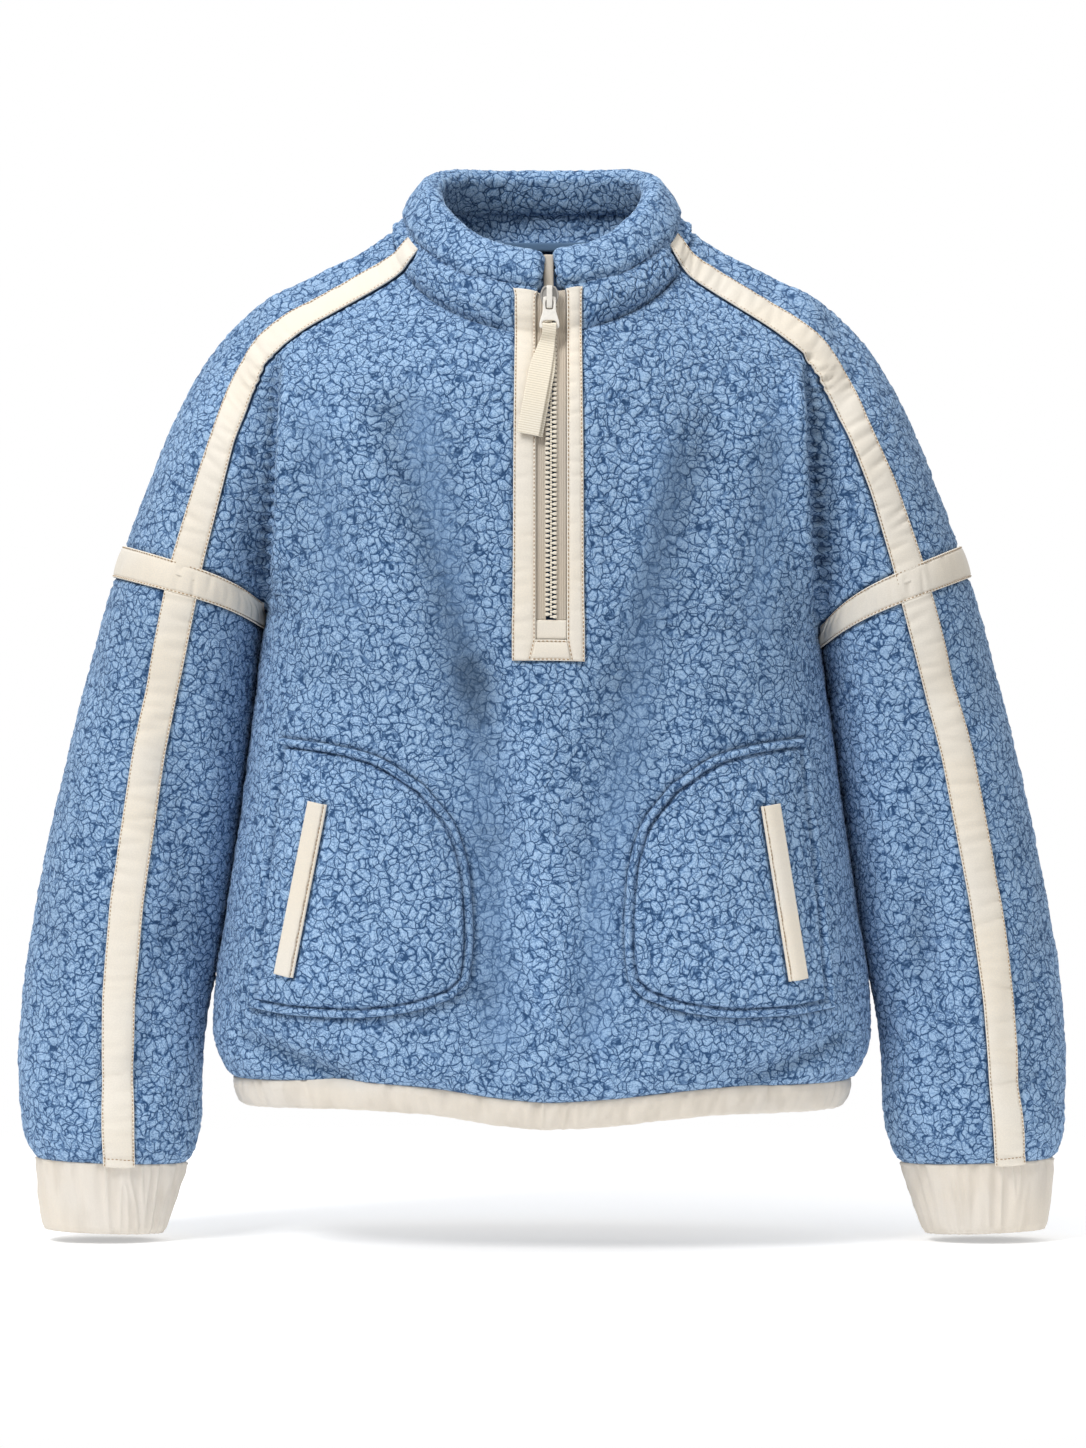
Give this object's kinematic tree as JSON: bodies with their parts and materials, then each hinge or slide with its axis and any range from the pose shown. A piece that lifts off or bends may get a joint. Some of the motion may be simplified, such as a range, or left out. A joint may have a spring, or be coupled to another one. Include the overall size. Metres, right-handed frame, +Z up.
{
  "type": "half-zip sherpa fleece pullover",
  "caption": "Half-zip pullover of thick sherpa fleece with drop shoulders, stand collar, contrast strips, slanted welt pockets, hem band and cuffs, filled out as worn.",
  "frame": {"origin": "middle of the neck opening, level with the tops of the shoulders, where the wearer's shoulders hold the garment up", "axes": "+X to the right as one looks at the front, the front faces -Y, +Z up"},
  "size_m": [0.7539, 0.2643, 0.7718],
  "materials": {
    "fleece": "curly sherpa pile, matt",
    "cream_jersey": "smooth dense jersey, matt",
    "cream_twill": "smooth woven nylon, slight sheen",
    "cream_grosgrain": "ribbed ribbon, matt",
    "blue_tape": "smooth tape, matt",
    "taupe_tape": "woven zip tape, matt",
    "cream_plastic": "moulded teeth, satin",
    "cream_enamel": "enamel, satin"
  },
  "bodies": {
    "garment": {"armband_left": "cream_twill", "armband_right": "cream_twill", "back_body": "fleece", "collar_roll": "fleece", "collar_stand": "fleece", "cuff_left": "cream_jersey", "cuff_right": "cream_jersey", "front_body": "fleece", "hem_band_back": "cream_jersey", "hem_band_front": "cream_jersey", "neck_tape": "blue_tape", "placket_foot": "cream_twill", "placket_left": "cream_twill", "placket_right": "cream_twill", "pocket_left": "fleece", "pocket_right": "fleece", "shoulder_strip_left": "cream_twill", "shoulder_strip_right": "cream_twill", "sleeve_back_left": "fleece", "sleeve_back_right": "fleece", "sleeve_front_left": "fleece", "sleeve_front_right": "fleece", "sleeve_strip_left": "cream_twill", "sleeve_strip_right": "cream_twill", "welt_left": "cream_twill", "welt_right": "cream_twill", "zip_chain": "cream_plastic", "zip_end_patch": "cream_twill", "zip_guard": "taupe_tape", "zip_slider": "cream_enamel", "zip_tape_left": "taupe_tape", "zip_tape_right": "taupe_tape"},
    "pull": {"zip_pull_tab": "cream_enamel", "pull_ribbon": "cream_grosgrain"}
  },
  "joints": [
    {"name": "pull_tab_swing", "type": "hinge", "parent": "garment", "child": "pull", "pos_m": [0.0052, -0.10634, -0.0475], "axis": [-1, 0, 0], "range_deg": [0, 135]}
  ]
}
